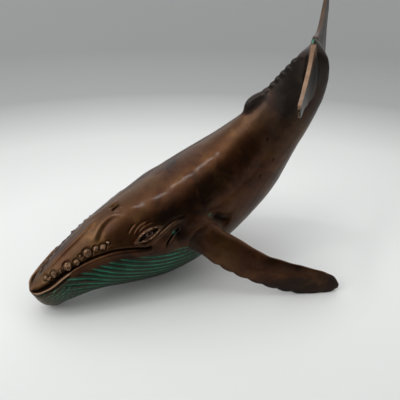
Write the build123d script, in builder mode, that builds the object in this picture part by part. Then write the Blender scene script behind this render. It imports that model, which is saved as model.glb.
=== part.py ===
from build123d import *
from math import cos, radians, sin
import os

os.makedirs("parts", exist_ok=True)

# A hollow bronze humpback whale, brazed together from castings.
# The head points to -X, the left side faces -Y and the ground is at Z = 0.

# Driving sizes of the body, in millimetres and degrees
spine_length = 240.0
greatest_half_width = 29.5
greatest_back_height = 27.5
greatest_belly_depth = 36.5
wall = 3.0
snout_height = 16.0
snout_left = 8.0

# Rows of the body: place along the spine, half width, height of the back above the
# spine, depth of the belly below it, and how full the upper and lower halves are
body_shares = [
    (0.000, 0.068, 0.030, 0.069, 2.00, 2.0),
    (0.012, 0.220, 0.088, 0.300, 1.80, 2.0),
    (0.035, 0.356, 0.236, 0.474, 1.60, 2.0),
    (0.070, 0.475, 0.418, 0.425, 1.60, 2.1),
    (0.135, 0.627, 0.673, 0.411, 1.60, 2.2),
    (0.200, 0.763, 0.836, 0.603, 1.70, 2.2),
    (0.300, 0.915, 0.964, 0.895, 1.85, 2.1),
    (0.420, 1.000, 1.000, 1.000, 2.00, 2.0),
    (0.560, 0.898, 0.945, 0.877, 2.00, 2.0),
    (0.640, 0.746, 0.855, 0.767, 1.90, 2.0),
    (0.720, 0.542, 0.745, 0.589, 1.80, 1.9),
    (0.810, 0.356, 0.618, 0.466, 1.70, 1.8),
    (0.880, 0.237, 0.491, 0.384, 1.70, 1.7),
    (0.940, 0.169, 0.309, 0.288, 1.80, 1.8),
    (1.000, 0.119, 0.091, 0.110, 2.00, 2.0),
]

# Course of the spine: place along it, climb, lean to the left and twist, in degrees
spine_course = [
    (0.000, 6, -6, 4),
    (0.012, 7, -6, 4),
    (0.035, 9, -6, 4),
    (0.070, 11, -6, 4),
    (0.135, 13, -6, 3),
    (0.200, 14, -5, 1),
    (0.300, 15, -4, 0),
    (0.420, 21, -2, 0),
    (0.560, 34, 3, -4),
    (0.640, 45, 8, -8),
    (0.720, 56, 14, -15),
    (0.810, 70, 18, -25),
    (0.880, 83, 19, -33),
    (0.940, 93, 17, -39),
    (1.000, 101, 12, -42),
]
spine_steps = 200
points_per_half = 10
tail_joint_share = 0.802
body_section_shares = [
    0.0, 0.006, 0.018, 0.035, 0.07, 0.11, 0.16, 0.22, 0.3, 0.38, 0.47, 0.56, 0.63, 0.7, 0.77,
    tail_joint_share,
]
tail_section_shares = [tail_joint_share, 0.83, 0.86, 0.89, 0.92, 0.96, 1.0]

# The hollow inside, and the lapped joint where the tail casting enters it
cavity_nose_share = 0.055
cavity_nose_fullness_share = 0.35
cavity_shares = [0.08, 0.11, 0.16, 0.22, 0.3, 0.38, 0.47, 0.56, 0.63, 0.7, 0.75, 0.78]
tail_lap_share = 0.045
tail_root_share = 0.02
lap_clearance = 0.15
tail_braze_width = 2.0
tail_braze_depth = 1.2

# Flippers: length along the casting, chord, thickness, and the round spigot
flipper_reach = 76.5
flipper_spread = 47.5
flipper_drop = 41.5
flipper_root_x = 88.0
flipper_root_side = 22.0
flipper_root_height = 44.5
flipper_chord = 25.0
flipper_thickness = 10.0
# place along the flipper, then the shares of reach, spread, drop, chord and thickness,
# and how steeply the leading edge hangs, in degrees
flipper_shares = [
    (0.00, 0.000, 0.000, 0.000, 1.00, 1.00, 30),
    (0.25, 0.170, 0.295, 0.301, 0.86, 0.80, 36),
    (0.50, 0.405, 0.568, 0.614, 0.74, 0.60, 48),
    (0.75, 0.693, 0.800, 0.831, 0.74, 0.50, 60),
    (0.90, 0.876, 0.926, 0.928, 0.56, 0.40, 64),
    (1.00, 1.000, 1.000, 1.000, 0.12, 0.20, 66),
]
flipper_sections = 24
flipper_points_per_half = 6
knob_count = 6
knob_share = 0.045
knob_start_share = 0.28
flipper_nose_share = 0.3
flipper_spigot_diameter = 7.0
flipper_spigot_sunk = 2.0
flipper_spigot_length = 16.0
flipper_boss_wall = 2.5
spigot_clearance = 0.1
spigot_tip_chamfer = 0.8
flipper_braze_size = 2.2
flipper_braze_lip = 0.4
# place along the flipper and how much the fillet stands proud of it there
flipper_braze_rows = [
    (0.0, flipper_braze_size), (0.10, flipper_braze_size), (0.16, flipper_braze_size * 0.55),
    (0.21, flipper_braze_lip),
]

# Flukes, spread to both sides of the end of the tail
fluke_half_span = 51.5
fluke_chord = 36.0
fluke_thickness = 7.0
fluke_edge_thickness = 2.0
fluke_edge_share = 0.8
fluke_overlap_share = -0.03
# forwards from the trailing edge, and how much of the full thickness is reached
fluke_outline_shares = [(0.0, 0.0), (0.3, 0.7), (0.65, 1.0), (0.9, 0.62), (1.0, 0.0)]
# place along the half span, then the shares of chord to the leading and the trailing
# edge, forwards of the notch, and the share of the thickness
fluke_shares = [
    (0.00, 1.12, 0.03, 1.00),
    (0.10, 1.08, 0.04, 0.79),
    (0.25, 0.90, 0.10, 0.60),
    (0.45, 0.70, 0.12, 0.46),
    (0.65, 0.53, 0.10, 0.38),
    (0.82, 0.40, 0.06, 0.32),
    (0.94, 0.26, 0.02, 0.28),
    (1.00, 0.12, 0.03, 0.26),
]

# Dorsal fin and the knuckles behind it
fin_height = 7.5
fin_length = 18.5
fin_width = 6.0
fin_sunk = 5.0
fin_middle_share = 0.754
# height in the fin, then the shares of its length and width, and how far it leans back
fin_shares = [
    (0.0, 1.0, 1.0, 0.0), (0.45, 0.86, 0.9, 0.05), (0.8, 0.56, 0.7, 0.13), (1.0, 0.22, 0.3, 0.2),
]
knuckle_radius = 2.4
knuckle_proud = 1.2
knuckle_place_shares = [0.819, 0.841, 0.863, 0.884, 0.905, 0.925, 0.944]

# Head details: places are shares along the spine and degrees from the middle of the back
eye_radius = 3.2
eye_proud = 1.0
eye_place_share = 0.307
eye_angle = 58
tubercle_radius = 2.0
tubercle_proud = 0.8
lip_tubercle_shares = [(0.048, 25), (0.068, 33), (0.103, 38), (0.130, 40), (0.159, 39), (0.187, 41)]
crown_tubercle_shares = [(0.085, 0), (0.125, 0), (0.165, 0)]
mouth_width = 1.6
mouth_depth = 1.0
mouth_shares = [
    (0.010, 49), (0.035, 51), (0.070, 46), (0.111, 46), (0.145, 48), (0.181, 51), (0.215, 56),
    (0.248, 62), (0.280, 69), (0.310, 71),
]
groove_proud = 0.8
groove_end_share = 0.3

# Round plugs over the holes of the pins that held the core
plug_diameter = 4.0
plug_clearance = 0.05
plug_reach = 12.0
plug_shares = [(0.36, 25), (0.50, 150), (0.66, 60)]


def smooth_value(table, column, place):
    """Value of a table's column at a place, on a smooth curve through its rows."""
    last = len(table) - 2
    row = min(max(sum(1 for r in table if r[0] <= place) - 1, 0), last)

    def slope(i):
        low, high = max(i - 1, 0), min(i + 1, last + 1)
        if low == i or high == i:
            return (table[high][column] - table[low][column]) / (table[high][0] - table[low][0])
        before = (table[i][column] - table[low][column]) / (table[i][0] - table[low][0])
        after = (table[high][column] - table[i][column]) / (table[high][0] - table[i][0])
        span = table[high][0] - table[low][0]
        return (after * (table[i][0] - table[low][0]) + before * (table[high][0] - table[i][0])) / span

    step = table[row + 1][0] - table[row][0]
    t = min(max((place - table[row][0]) / step, 0), 1)
    start, end = table[row][column], table[row + 1][column]
    return (
        (2 * t**3 - 3 * t**2 + 1) * start
        + (t**3 - 2 * t**2 + t) * step * slope(row)
        + (3 * t**2 - 2 * t**3) * end
        + (t**3 - t**2) * step * slope(row + 1)
    )


def body_axes(place):
    """Directions backwards, to the back's ridge and to the left at a place on the spine."""
    climb, lean, twist = (radians(smooth_value(spine_course, column, place)) for column in (1, 2, 3))
    backwards = Vector(cos(lean) * cos(climb), -sin(lean), cos(lean) * sin(climb))
    ridge = Vector(-sin(climb), 0, cos(climb))
    left = Vector(-sin(lean) * cos(climb), -cos(lean), -sin(lean) * sin(climb))
    return backwards, ridge * cos(twist) + left * sin(twist), left * cos(twist) - ridge * sin(twist)


def spine_points():
    """The spine, stepped off along its course from the snout."""
    points = [Vector(-snout_left, -snout_left, snout_height)]
    for step in range(spine_steps):
        direction = body_axes((step + 0.5) / spine_steps)[0]
        points.append(points[-1] + direction * (spine_length / spine_steps))
    return points


spine = spine_points()


def spine_point(place):
    """The point of the spine at a share of its length."""
    position = min(place * spine_steps, spine_steps)
    index = min(int(position), spine_steps - 1)
    return spine[index] + (spine[index + 1] - spine[index]) * (position - index)


def offset_in_section(place, angle, inset=0.0, shrink=1.0):
    """How far a skin point lies to the left of the spine and above it."""
    half_width = smooth_value(body_shares, 1, place) * greatest_half_width - inset
    side = sin(radians(angle)) if angle % 180 else 0.0
    rise = cos(radians(angle))
    if rise > 0:
        height = smooth_value(body_shares, 2, place) * greatest_back_height - inset
        fullness = smooth_value(body_shares, 4, place)
    else:
        height = smooth_value(body_shares, 3, place) * greatest_belly_depth - inset
        fullness = smooth_value(body_shares, 5, place)
    across = half_width * abs(side) ** (2 / fullness) * (1 if side > 0 else -1)
    up = height * abs(rise) ** (2 / fullness) * (1 if rise > 0 else -1)
    return across * shrink, up * shrink


def skin_point(place, angle):
    """A point of the body's skin, the angle measured from the back towards the left."""
    across, up = offset_in_section(place, angle)
    _, ridge, left = body_axes(place)
    return spine_point(place) + left * across + ridge * up


def skin_normal(place, angle):
    """The direction out of the skin."""
    step, turn = 0.004, 2
    along = skin_point(min(place + step, 1), angle) - skin_point(max(place - step, 0), angle)
    around = skin_point(place, angle + turn) - skin_point(place, angle - turn)
    normal = along.cross(around).normalized()
    outwards = skin_point(place, angle) - spine_point(place)
    return normal if normal.dot(outwards) > 0 else normal * -1


def body_section(place, inset=0.0, shrink=1.0):
    """The body's outline at a place on the spine, a curve for each side, inset for the walls."""
    backwards, _, left = body_axes(place)
    turns = [step / points_per_half for step in range(points_per_half + 1)]
    points = [offset_in_section(place, 180 * turn, inset, shrink) for turn in turns]
    down = [(-across, up) for across, up in points]
    again_up = [(across, up) for across, up in reversed(points)]
    left_edge = Edge.make_spline(down, tangents=[(-1, 0), (1, 0)], parameters=turns)
    right_edge = Edge.make_spline(again_up, tangents=[(1, 0), (-1, 0)], parameters=turns)
    section_plane = Plane(origin=spine_point(place), x_dir=left * -1, z_dir=backwards)
    return section_plane.location * Face(Wire([left_edge, right_edge]))


def groove_sections(places, width, depth):
    """Kites that follow skin places, to cut a groove of a width and depth, fading at its ends."""
    sections = []
    for index, (place, angle) in enumerate(places):
        here = skin_point(place, angle)
        ahead = skin_point(*places[min(index + 1, len(places) - 1)])
        behind = skin_point(*places[max(index - 1, 0)])
        normal = skin_normal(place, angle)
        size = groove_end_share if index in (0, len(places) - 1) else 1
        course = (ahead - behind).normalized()
        with BuildSketch(Plane(origin=here, x_dir=normal, z_dir=course)) as kite:
            with BuildLine():
                Polyline(
                    (groove_proud, 0),
                    (0, width * size / 2),
                    (-depth * size, 0),
                    (0, -width * size / 2),
                    close=True,
                )
            make_face()
        sections.append(kite.sketch)
    return sections


def on_both_sides(places):
    """The same skin places on the left and on the right."""
    return [places, [(place, -angle) for place, angle in places]]


# The skins of body and tail stock, filled, which meet at the joint
with BuildPart() as body_skin:
    loft(sections=[body_section(place) for place in body_section_shares], clean=False)
with BuildPart() as tail_skin:
    loft(sections=[body_section(place) for place in tail_section_shares], clean=False)

joint_plane = Plane(origin=spine_point(tail_joint_share), z_dir=body_axes(tail_joint_share)[0])

# The hollow, open towards the tail
with BuildPart() as cavity:
    nose = body_section(cavity_nose_share, wall, cavity_nose_fullness_share)
    walls = [body_section(place, wall) for place in cavity_shares + [tail_joint_share + tail_root_share / 2]]
    loft(sections=[nose] + walls, clean=False)

# Slot all round the tail joint, and the ring of filler metal that fills it, dressed flush
near_joint = [tail_joint_share + step * tail_root_share for step in (-1.0, -0.5, 0.0, 0.5, 1.0)]
past_joint = [tail_joint_share + step * tail_root_share for step in (-1.5, -0.5, 0.0, 0.5, 1.5)]
with BuildPart() as slot_floor:
    loft(sections=[body_section(place, tail_braze_depth) for place in past_joint], clean=False)
with BuildPart(joint_plane) as braze_slot:
    Box(4 * greatest_half_width, 4 * greatest_half_width, tail_braze_width)
    add(slot_floor.part, mode=Mode.SUBTRACT, clean=False)
with BuildPart() as tail_braze:
    loft(sections=[body_section(place) for place in near_joint], clean=False)
    add(slot_floor.part, mode=Mode.SUBTRACT, clean=False)
    with Locations(joint_plane):
        Box(4 * greatest_half_width, 4 * greatest_half_width, tail_braze_width, mode=Mode.INTERSECT)


def flipper_axes(place):
    """Centre, direction outwards, and direction to the leading edge, of the left flipper."""

    def centre(at):
        reach, spread, drop = (smooth_value(flipper_shares, column, at) for column in (1, 2, 3))
        return Vector(
            flipper_root_x + flipper_reach * reach,
            -flipper_root_side - flipper_spread * spread,
            flipper_root_height - flipper_drop * drop,
        )

    step = 0.01
    outwards = (centre(min(place + step, 1)) - centre(max(place - step, 0))).normalized()
    hang = radians(smooth_value(flipper_shares, 6, place))
    leading = Vector(-cos(hang), 0, -sin(hang))
    leading = (leading - outwards * leading.dot(outwards)).normalized()
    return centre(place), outwards, leading


def flipper_section(place, growth=0.0):
    """The left flipper's outline at a share of its length, with the knobs of its leading edge."""
    centre, outwards, leading = flipper_axes(place)
    half_chord = smooth_value(flipper_shares, 4, place) * flipper_chord / 2 + growth
    half_thickness = smooth_value(flipper_shares, 5, place) * flipper_thickness / 2 + growth
    knobs = 0.0
    if place > knob_start_share:
        turns = (place - knob_start_share) / (1 - knob_start_share) * knob_count
        knobs = knob_share * (1 - cos(radians(360 * turns)))
    points = []
    for step in range(2 * flipper_points_per_half):
        turn = radians(180 * step / flipper_points_per_half)
        forward = cos(turn)
        bump = 1 + knobs * max(forward, 0) ** 2
        taper = 1 + flipper_nose_share * forward / 2
        points.append((half_chord * forward * bump, half_thickness * sin(turn) * taper))
    with BuildSketch(Plane(origin=centre, x_dir=leading, z_dir=outwards)) as outline:
        with BuildLine():
            Spline(*points, periodic=True)
        make_face()
    return outline.sketch


root_centre, root_outwards, _ = flipper_axes(0)
spigot_plane = Plane(origin=root_centre - root_outwards * flipper_spigot_sunk, z_dir=root_outwards)
ground = Plane(origin=(spine_length / 2, 0, 0))


def cut_to_ground():
    """File the resting spots flat where the casting meets the ground."""
    with Locations(ground):
        Box(
            2 * spine_length,
            2 * spine_length,
            spine_length,
            align=(Align.CENTER, Align.CENTER, Align.MAX),
            mode=Mode.SUBTRACT,
        )


# Both flippers: solid castings, fitted to the skin, each with a spigot into the body,
# and the filler-metal fillets round their roots
flippers = {}
fillets = {}
sockets = {}
bosses = {}
for side in ("left", "right"):
    with BuildPart() as spigot:
        with BuildSketch(spigot_plane):
            Circle(flipper_spigot_diameter / 2)
        extrude(amount=flipper_spigot_length)
        chamfer(spigot.edges().sort_by(Axis.Y)[-1], spigot_tip_chamfer)
        if side == "right":
            mirror(about=Plane.XZ, mode=Mode.REPLACE)
    with BuildPart() as socket:
        with BuildSketch(spigot_plane):
            Circle(flipper_spigot_diameter / 2 + spigot_clearance)
        extrude(amount=flipper_spigot_length)
        if side == "right":
            mirror(about=Plane.XZ, mode=Mode.REPLACE)
    with BuildPart() as boss:
        with BuildSketch(spigot_plane):
            Circle(flipper_spigot_diameter / 2 + spigot_clearance + flipper_boss_wall)
        extrude(amount=flipper_spigot_length)
        if side == "right":
            mirror(about=Plane.XZ, mode=Mode.REPLACE)
        add(body_skin.part, mode=Mode.INTERSECT)
    with BuildPart() as flipper:
        places = [step / flipper_sections for step in range(flipper_sections + 1)]
        loft(sections=[flipper_section(place) for place in places])
        if side == "right":
            mirror(about=Plane.XZ, mode=Mode.REPLACE)
        cut_to_ground()
        add(body_skin.part, mode=Mode.SUBTRACT)
        add(spigot.part)
    with BuildPart() as fillet_ring:
        loft(sections=[flipper_section(*row) for row in flipper_braze_rows])
        if side == "right":
            mirror(about=Plane.XZ, mode=Mode.REPLACE)
        add(body_skin.part, mode=Mode.SUBTRACT)
        add(flipper.part, mode=Mode.SUBTRACT)
    flippers[side] = flipper
    fillets[side] = fillet_ring
    sockets[side] = socket
    bosses[side] = boss


def skin_ball(place, angle, radius, proud):
    """Where the middle of a ball lies that stands out of the skin by a little."""
    return skin_point(place, angle) + skin_normal(place, angle) * (proud - radius)


# Discs of the wall over the core pin holes, in line with the skin
with BuildPart() as core_pin_plugs:
    for place, angle in plug_shares:
        for turn in (angle, -angle):
            normal = skin_normal(place, turn)
            middle = skin_point(place, turn)
            with BuildSketch(Plane(origin=middle - normal * plug_reach / 2, z_dir=normal)):
                Circle(plug_diameter / 2)
    extrude(amount=plug_reach)
    add(body_skin.part, mode=Mode.INTERSECT)
    add(cavity.part, mode=Mode.SUBTRACT)

# Dorsal fin, rising out of the back
with BuildPart() as dorsal_fin:
    backwards, ridge, left = body_axes(fin_middle_share)
    foot = skin_point(fin_middle_share, 0) - ridge * fin_sunk
    layers = []
    for height, length, width, lean_back in fin_shares:
        middle = foot + ridge * (fin_sunk + fin_height) * height + backwards * fin_length * lean_back
        with BuildSketch(Plane(origin=middle, x_dir=backwards, z_dir=ridge)) as layer:
            Ellipse(fin_length * length / 2, fin_width * width / 2)
        layers.append(layer.sketch)
    loft(sections=layers)

# Eyes and tubercles of the head
with BuildPart() as head_bumps:
    for turn in (eye_angle, -eye_angle):
        with Locations(skin_ball(eye_place_share, turn, eye_radius, eye_proud)):
            Sphere(eye_radius)
    for place, angle in lip_tubercle_shares:
        for turn in (angle, -angle):
            with Locations(skin_ball(place, turn, tubercle_radius, tubercle_proud)):
                Sphere(tubercle_radius)
    for place, angle in crown_tubercle_shares:
        with Locations(skin_ball(place, angle, tubercle_radius, tubercle_proud)):
            Sphere(tubercle_radius)

# Mouth line, as a tool that cuts it
with BuildPart() as mouth_cutter:
    for places in on_both_sides(mouth_shares):
        loft(sections=groove_sections(places, mouth_width, mouth_depth))

# Holes in the wall for the core pins
with BuildPart() as pin_holes:
    for place, angle in plug_shares:
        for turn in (angle, -angle):
            normal = skin_normal(place, turn)
            middle = skin_point(place, turn)
            with BuildSketch(Plane(origin=middle - normal * plug_reach / 2, z_dir=normal)):
                Circle(plug_diameter / 2 + plug_clearance)
    extrude(amount=plug_reach)

# Hollow body casting, from the snout to the tail joint
with BuildPart() as body_casting:
    add(body_skin.part)
    cut_to_ground()
    add([dorsal_fin.part, head_bumps.part], clean=False)
    add(cavity.part, mode=Mode.SUBTRACT, clean=False)
    add(braze_slot.part, mode=Mode.SUBTRACT, clean=False)
    add(mouth_cutter.part, mode=Mode.SUBTRACT, clean=False)
    add([bosses["left"].part, bosses["right"].part], clean=False)
    add([sockets["left"].part, sockets["right"].part], mode=Mode.SUBTRACT, clean=False)
    add(pin_holes.part, mode=Mode.SUBTRACT, clean=False)

# Lap of the tail casting, a close fit in the open end of the hollow
lap_places = [
    tail_joint_share - tail_lap_share,
    tail_joint_share - tail_lap_share / 2,
    tail_joint_share,
    tail_joint_share + tail_root_share,
]
with BuildPart() as tail_lap:
    loft(sections=[body_section(place, wall + lap_clearance) for place in lap_places], clean=False)

# Flukes, one half to each side of the end of the tail
notch = spine_point(1)
end_backwards, end_ridge, end_left = body_axes(1)


def fluke_section(place, side):
    """Outline of a fluke at a share of its half span: a round leading edge, a square trailing one."""
    leading, trailing, thick = (smooth_value(fluke_shares, column, abs(place)) for column in (1, 2, 3))
    front, back = leading * fluke_chord, trailing * fluke_chord
    half = thick * fluke_thickness / 2
    edge = min(fluke_edge_thickness / 2, half * fluke_edge_share)
    middle = notch + end_left * (fluke_half_span * place * side)
    upper = []
    for forward, fat in fluke_outline_shares:
        upper.append((-(back + (front - back) * forward), edge + (half - edge) * fat if forward < 1 else 0))
    lower = [(x, -y) for x, y in reversed(upper[:-1])]
    with BuildSketch(Plane(origin=middle, x_dir=end_backwards, z_dir=end_left * side)) as outline:
        with BuildLine():
            Spline(*upper, *lower)
            Line(lower[-1], upper[0])
        make_face()
    return outline.sketch


with BuildPart() as flukes:
    for side in (1, -1):
        places = [fluke_overlap_share] + [row[0] for row in fluke_shares[1:]]
        loft(sections=[fluke_section(place, side) for place in places])

with BuildPart() as knuckles:
    for place in knuckle_place_shares:
        with Locations(skin_ball(place, 0, knuckle_radius, knuckle_proud)):
            Sphere(knuckle_radius)

# Tail casting: end of the tail, knuckles, flukes and the lap
with BuildPart() as tail_flukes:
    add(tail_skin.part)
    add(flukes.part, clean=False)
    add(knuckles.part, clean=False)
    add(braze_slot.part, mode=Mode.SUBTRACT, clean=False)
    add(tail_lap.part, clean=False)

castings = {
    "body_casting": body_casting,
    "tail_flukes": tail_flukes,
    "tail_braze": tail_braze,
    "core_pin_plugs": core_pin_plugs,
    "left_flipper": flippers["left"],
    "left_flipper_braze": fillets["left"],
    "right_flipper": flippers["right"],
    "right_flipper_braze": fillets["right"],
}

# The origin goes on the ground under the middle of the whole
whole = Compound([piece.part for piece in castings.values()]).bounding_box()
for name, piece in castings.items():
    piece.part.move(Location((-whole.center().X, -whole.center().Y, 0)))
    piece.part.label = name
    export_step(piece.part, f"parts/{name}.step")
    print(f"{name}: {piece.part.volume:.0f} mm3, {len(piece.part.solids())} solids")
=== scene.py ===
from math import cos, pi, radians, sin, tan

import bmesh
import bpy
import numpy as np
from bpy.props import FloatProperty, FloatVectorProperty, IntProperty, PointerProperty
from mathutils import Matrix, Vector
from mathutils.bvhtree import BVHTree


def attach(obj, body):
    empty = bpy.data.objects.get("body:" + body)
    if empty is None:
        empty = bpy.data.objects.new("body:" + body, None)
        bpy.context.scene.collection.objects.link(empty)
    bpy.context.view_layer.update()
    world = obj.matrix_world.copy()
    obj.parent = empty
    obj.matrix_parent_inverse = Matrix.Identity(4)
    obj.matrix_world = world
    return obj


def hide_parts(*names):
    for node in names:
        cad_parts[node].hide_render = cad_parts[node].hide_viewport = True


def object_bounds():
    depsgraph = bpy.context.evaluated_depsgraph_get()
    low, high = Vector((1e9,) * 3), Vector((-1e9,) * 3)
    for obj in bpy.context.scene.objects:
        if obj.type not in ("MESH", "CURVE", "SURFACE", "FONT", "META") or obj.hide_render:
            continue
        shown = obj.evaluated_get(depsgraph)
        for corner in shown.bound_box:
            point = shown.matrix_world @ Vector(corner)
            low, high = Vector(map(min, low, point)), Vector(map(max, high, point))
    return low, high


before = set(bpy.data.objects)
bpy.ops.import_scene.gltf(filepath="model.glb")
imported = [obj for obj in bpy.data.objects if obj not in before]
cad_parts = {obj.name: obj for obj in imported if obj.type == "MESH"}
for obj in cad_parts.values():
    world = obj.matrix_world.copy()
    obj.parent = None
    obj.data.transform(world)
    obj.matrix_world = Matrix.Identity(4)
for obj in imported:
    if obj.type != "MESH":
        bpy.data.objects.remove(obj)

bl_info = {
    "name": "Bronze whale figurine",
    "version": (1, 0, 0),
    "blender": (4, 5, 0),
    "location": "3D View > Sidebar > Whale",
    "description": "Models a patinated bronze humpback whale with a curled tail",
    "category": "Add Mesh",
}

MM = 0.001
CAD_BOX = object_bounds()
# High corner of the CAD box in millimetres, which the flukes don't pass
BOX_CORNER = np.array(CAD_BOX[1]) / MM
# What the operators make, in order
STAGES = ("body", "tail", "flippers", "beads", "eyes", "stage")
# What each vertex tells the finish: painted shade with grime in hollows, verdigris, rubbed metal,
# the grey of the tail, the green of the throat, and lighter or darker patches
MARKS = ("crevice", "verdigris", "worn", "grey", "throat", "tone")

# Shape of the body: place along the spine, then shares of the greatest half width, back
# height and belly depth, and how full the upper and lower halves are
BODY_SHARES = np.array([
    (0.000, 0.068, 0.030, 0.069, 2.00, 2.0),
    (0.012, 0.220, 0.088, 0.300, 1.80, 2.0),
    (0.035, 0.356, 0.236, 0.474, 1.60, 2.0),
    (0.070, 0.475, 0.418, 0.425, 1.60, 2.1),
    (0.135, 0.627, 0.673, 0.411, 1.60, 2.2),
    (0.200, 0.763, 0.836, 0.603, 1.70, 2.2),
    (0.300, 0.915, 0.964, 0.895, 1.85, 2.1),
    (0.420, 1.000, 1.000, 1.000, 2.00, 2.0),
    (0.560, 0.898, 0.945, 0.877, 2.00, 2.0),
    (0.640, 0.746, 0.855, 0.767, 1.90, 2.0),
    (0.720, 0.542, 0.745, 0.589, 1.80, 1.9),
    (0.810, 0.356, 0.618, 0.466, 1.70, 1.8),
    (0.880, 0.237, 0.491, 0.384, 1.70, 1.7),
    (0.940, 0.169, 0.309, 0.288, 1.80, 1.8),
    (1.000, 0.119, 0.091, 0.110, 2.00, 2.0),
])
# Course of the spine: place, climb, lean to the left and twist, in degrees
SPINE_COURSE = np.array([
    (0.000, 6, -6, 4), (0.012, 7, -6, 4), (0.035, 9, -6, 4), (0.070, 11, -6, 4),
    (0.135, 13, -6, 3), (0.200, 14, -5, 1), (0.300, 15, -4, 0), (0.420, 21, -2, 0),
    (0.560, 34, 3, -4), (0.640, 45, 8, -8), (0.720, 56, 14, -15), (0.810, 70, 18, -25),
    (0.880, 83, 19, -33), (0.940, 93, 17, -39), (1.000, 101, 12, -42),
], float)
# Flipper: place, shares of reach, spread, drop, chord and thickness, hang in degrees
FLIPPER_SHARES = np.array([
    (0.00, 0.000, 0.000, 0.000, 1.00, 1.00, 30),
    (0.25, 0.170, 0.295, 0.301, 0.86, 0.80, 36),
    (0.50, 0.405, 0.568, 0.614, 0.74, 0.60, 48),
    (0.75, 0.693, 0.800, 0.831, 0.75, 0.50, 60),
    (0.90, 0.876, 0.926, 0.928, 0.62, 0.42, 64),
    (0.965, 0.957, 0.974, 0.975, 0.45, 0.35, 65),
    (1.00, 1.000, 1.000, 1.000, 0.14, 0.22, 66),
])
# Fluke: place along the half span, then how far forward of the notch its leading and its
# trailing edge lie, as shares of the chord, and share of the thickness
FLUKE_SHARES = np.array([
    (0.00, 0.88, 0.03, 1.00), (0.10, 0.91, 0.04, 0.79), (0.25, 0.84, 0.10, 0.57),
    (0.45, 0.70, 0.12, 0.42), (0.65, 0.48, 0.10, 0.35), (0.82, 0.36, 0.06, 0.31),
    (0.93, 0.28, 0.02, 0.30), (0.98, 0.20, 0.02, 0.26), (1.00, 0.10, 0.04, 0.16),
])
# Roundness of a fluke from the leading edge back, as shares of its thickness
FLUKE_FATNESS = np.array([(0.0, 0.0), (0.316, 0.62), (0.592, 1.0), (0.837, 0.7), (1.0, 0.0)])
# Flukes: side, how rubbed the trailing edge is, and how far the root flares out in mm
FLUKES = [(1, 1.0, 0.8), (-1, 0.25, 2.4)]
# Dorsal fin: place along the spine and share of its height
FIN_SHARES = np.array([
    (0.712, 0.0), (0.722, 0.08), (0.736, 0.36), (0.748, 0.74), (0.758, 0.93), (0.770, 1.0),
    (0.783, 0.92), (0.797, 0.70), (0.812, 0.38), (0.828, 0.0),
])
# Slow patches of the patina: place, degrees from the back, reach in mm and how much lighter
PATCHES = [
    (0.44, 62, 13, -0.9), (0.36, 48, 11, -0.7), (0.52, 50, 12, -0.7), (0.60, 70, 12, -0.6),
    (0.50, 84, 9, 0.8), (0.56, 95, 9, 0.5), (0.64, 40, 10, 0.5), (0.42, 30, 10, 0.5),
    (0.20, 34, 8, 0.7), (0.25, 52, 6, 0.4), (0.33, 36, 8, 0.5), (0.69, 60, 9, -0.8),
]

# Rows of vertices round the body: those of the nose crowd towards its tip, the others lie
# evenly from one place to the next
NOSE_END = 0.012
NOSE_ROWS = 9
NOSE_CROWDING = 1.8
BODY_ROWS = [(NOSE_END, 0.41, 170), (0.41, 0.70, 50)]
LAST_ROWS = 38
TAIL_ROWS = 96
# Where the nose has its full girth, and what is left of it at the tip
NOSE_ROUND = 0.010
NOSE_TIP_SHARE = 0.02
# Where the end of the tail starts to round off, and how long that stretch is
TAIL_ROUND = (0.975, 0.0255)
# Rows and columns of a fluke, of a flipper, and of the coarse flipper that the body is blended to
FLUKE_GRID = (70, 88)
FLIPPER_GRID = (150, 96)
COARSE_FLIPPER_GRID = (60, 48)
# How far from its path a stroke reaches, in mm
STROKE_REACH = 9.0
# Edges sharper than this are shaded as edges
SHARP_ANGLE = radians(58)

# Details of the skin: place along the spine and degrees from the back, on the left side
MOUTH = [
    (0.003, 40), (0.010, 45), (0.024, 47), (0.036, 48), (0.055, 46), (0.079, 43), (0.111, 44),
    (0.145, 46), (0.181, 50), (0.215, 55), (0.247, 62), (0.280, 70), (0.300, 73),
]
LOWER_LIP = [(0.004, 62), (0.014, 61), (0.033, 59), (0.056, 56), (0.080, 51), (0.108, 48)]
CROWN_RIDGE = [(0.030, 4), (0.064, 6), (0.103, 6), (0.159, 6), (0.201, 1), (0.226, 0)]
SPLASH_GUARD = [
    (0.182, 32), (0.191, 26), (0.209, 18), (0.224, 14), (0.241, 12), (0.255, 13), (0.276, 17),
]
BLOWHOLE = [(0.256, 6), (0.264, 4.5), (0.274, 4), (0.287, 3.5)]
EYE = [(0.268, 58.5), (0.307, 58), (0.341, 56)]
UPPER_LID = [(0.262, 60), (0.275, 57), (0.289, 54), (0.305, 53), (0.323, 53.5), (0.350, 57)]
LOWER_LID = [(0.265, 59.5), (0.280, 61), (0.294, 62.5), (0.309, 62.5), (0.326, 60), (0.343, 56.5)]
BROWS = [
    [(0.268, 52), (0.285, 46), (0.304, 43.5), (0.325, 45)],
    [(0.280, 51), (0.298, 48), (0.316, 47.5), (0.338, 50)],
    [(0.262, 47), (0.278, 42), (0.292, 40)],
]
CHEEK_FOLD = [
    (0.262, 60), (0.274, 64.5), (0.283, 67.5), (0.296, 68.5), (0.318, 66), (0.341, 63),
    (0.374, 60), (0.410, 62),
]
GILL_CREASE = [(0.326, 84), (0.338, 78), (0.356, 73), (0.371, 70), (0.386, 67)]
POCKET = [(0.468, 76), (0.476, 87), (0.487, 97), (0.500, 107)]
PITS = [(0.694, 104), (0.730, 74), (0.640, 96), (0.560, 122)]
# Round swellings and pits at the eye and behind it: place, angle, then height, width in mm and
# how much painted shade darkens them
SWELLINGS = [(0.307, 58, 0.5, 5.5, 0), (0.390, 44, 0.7, 8.0, 0), (0.372, 74, -0.9, 3.0, 0.95)]
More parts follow.
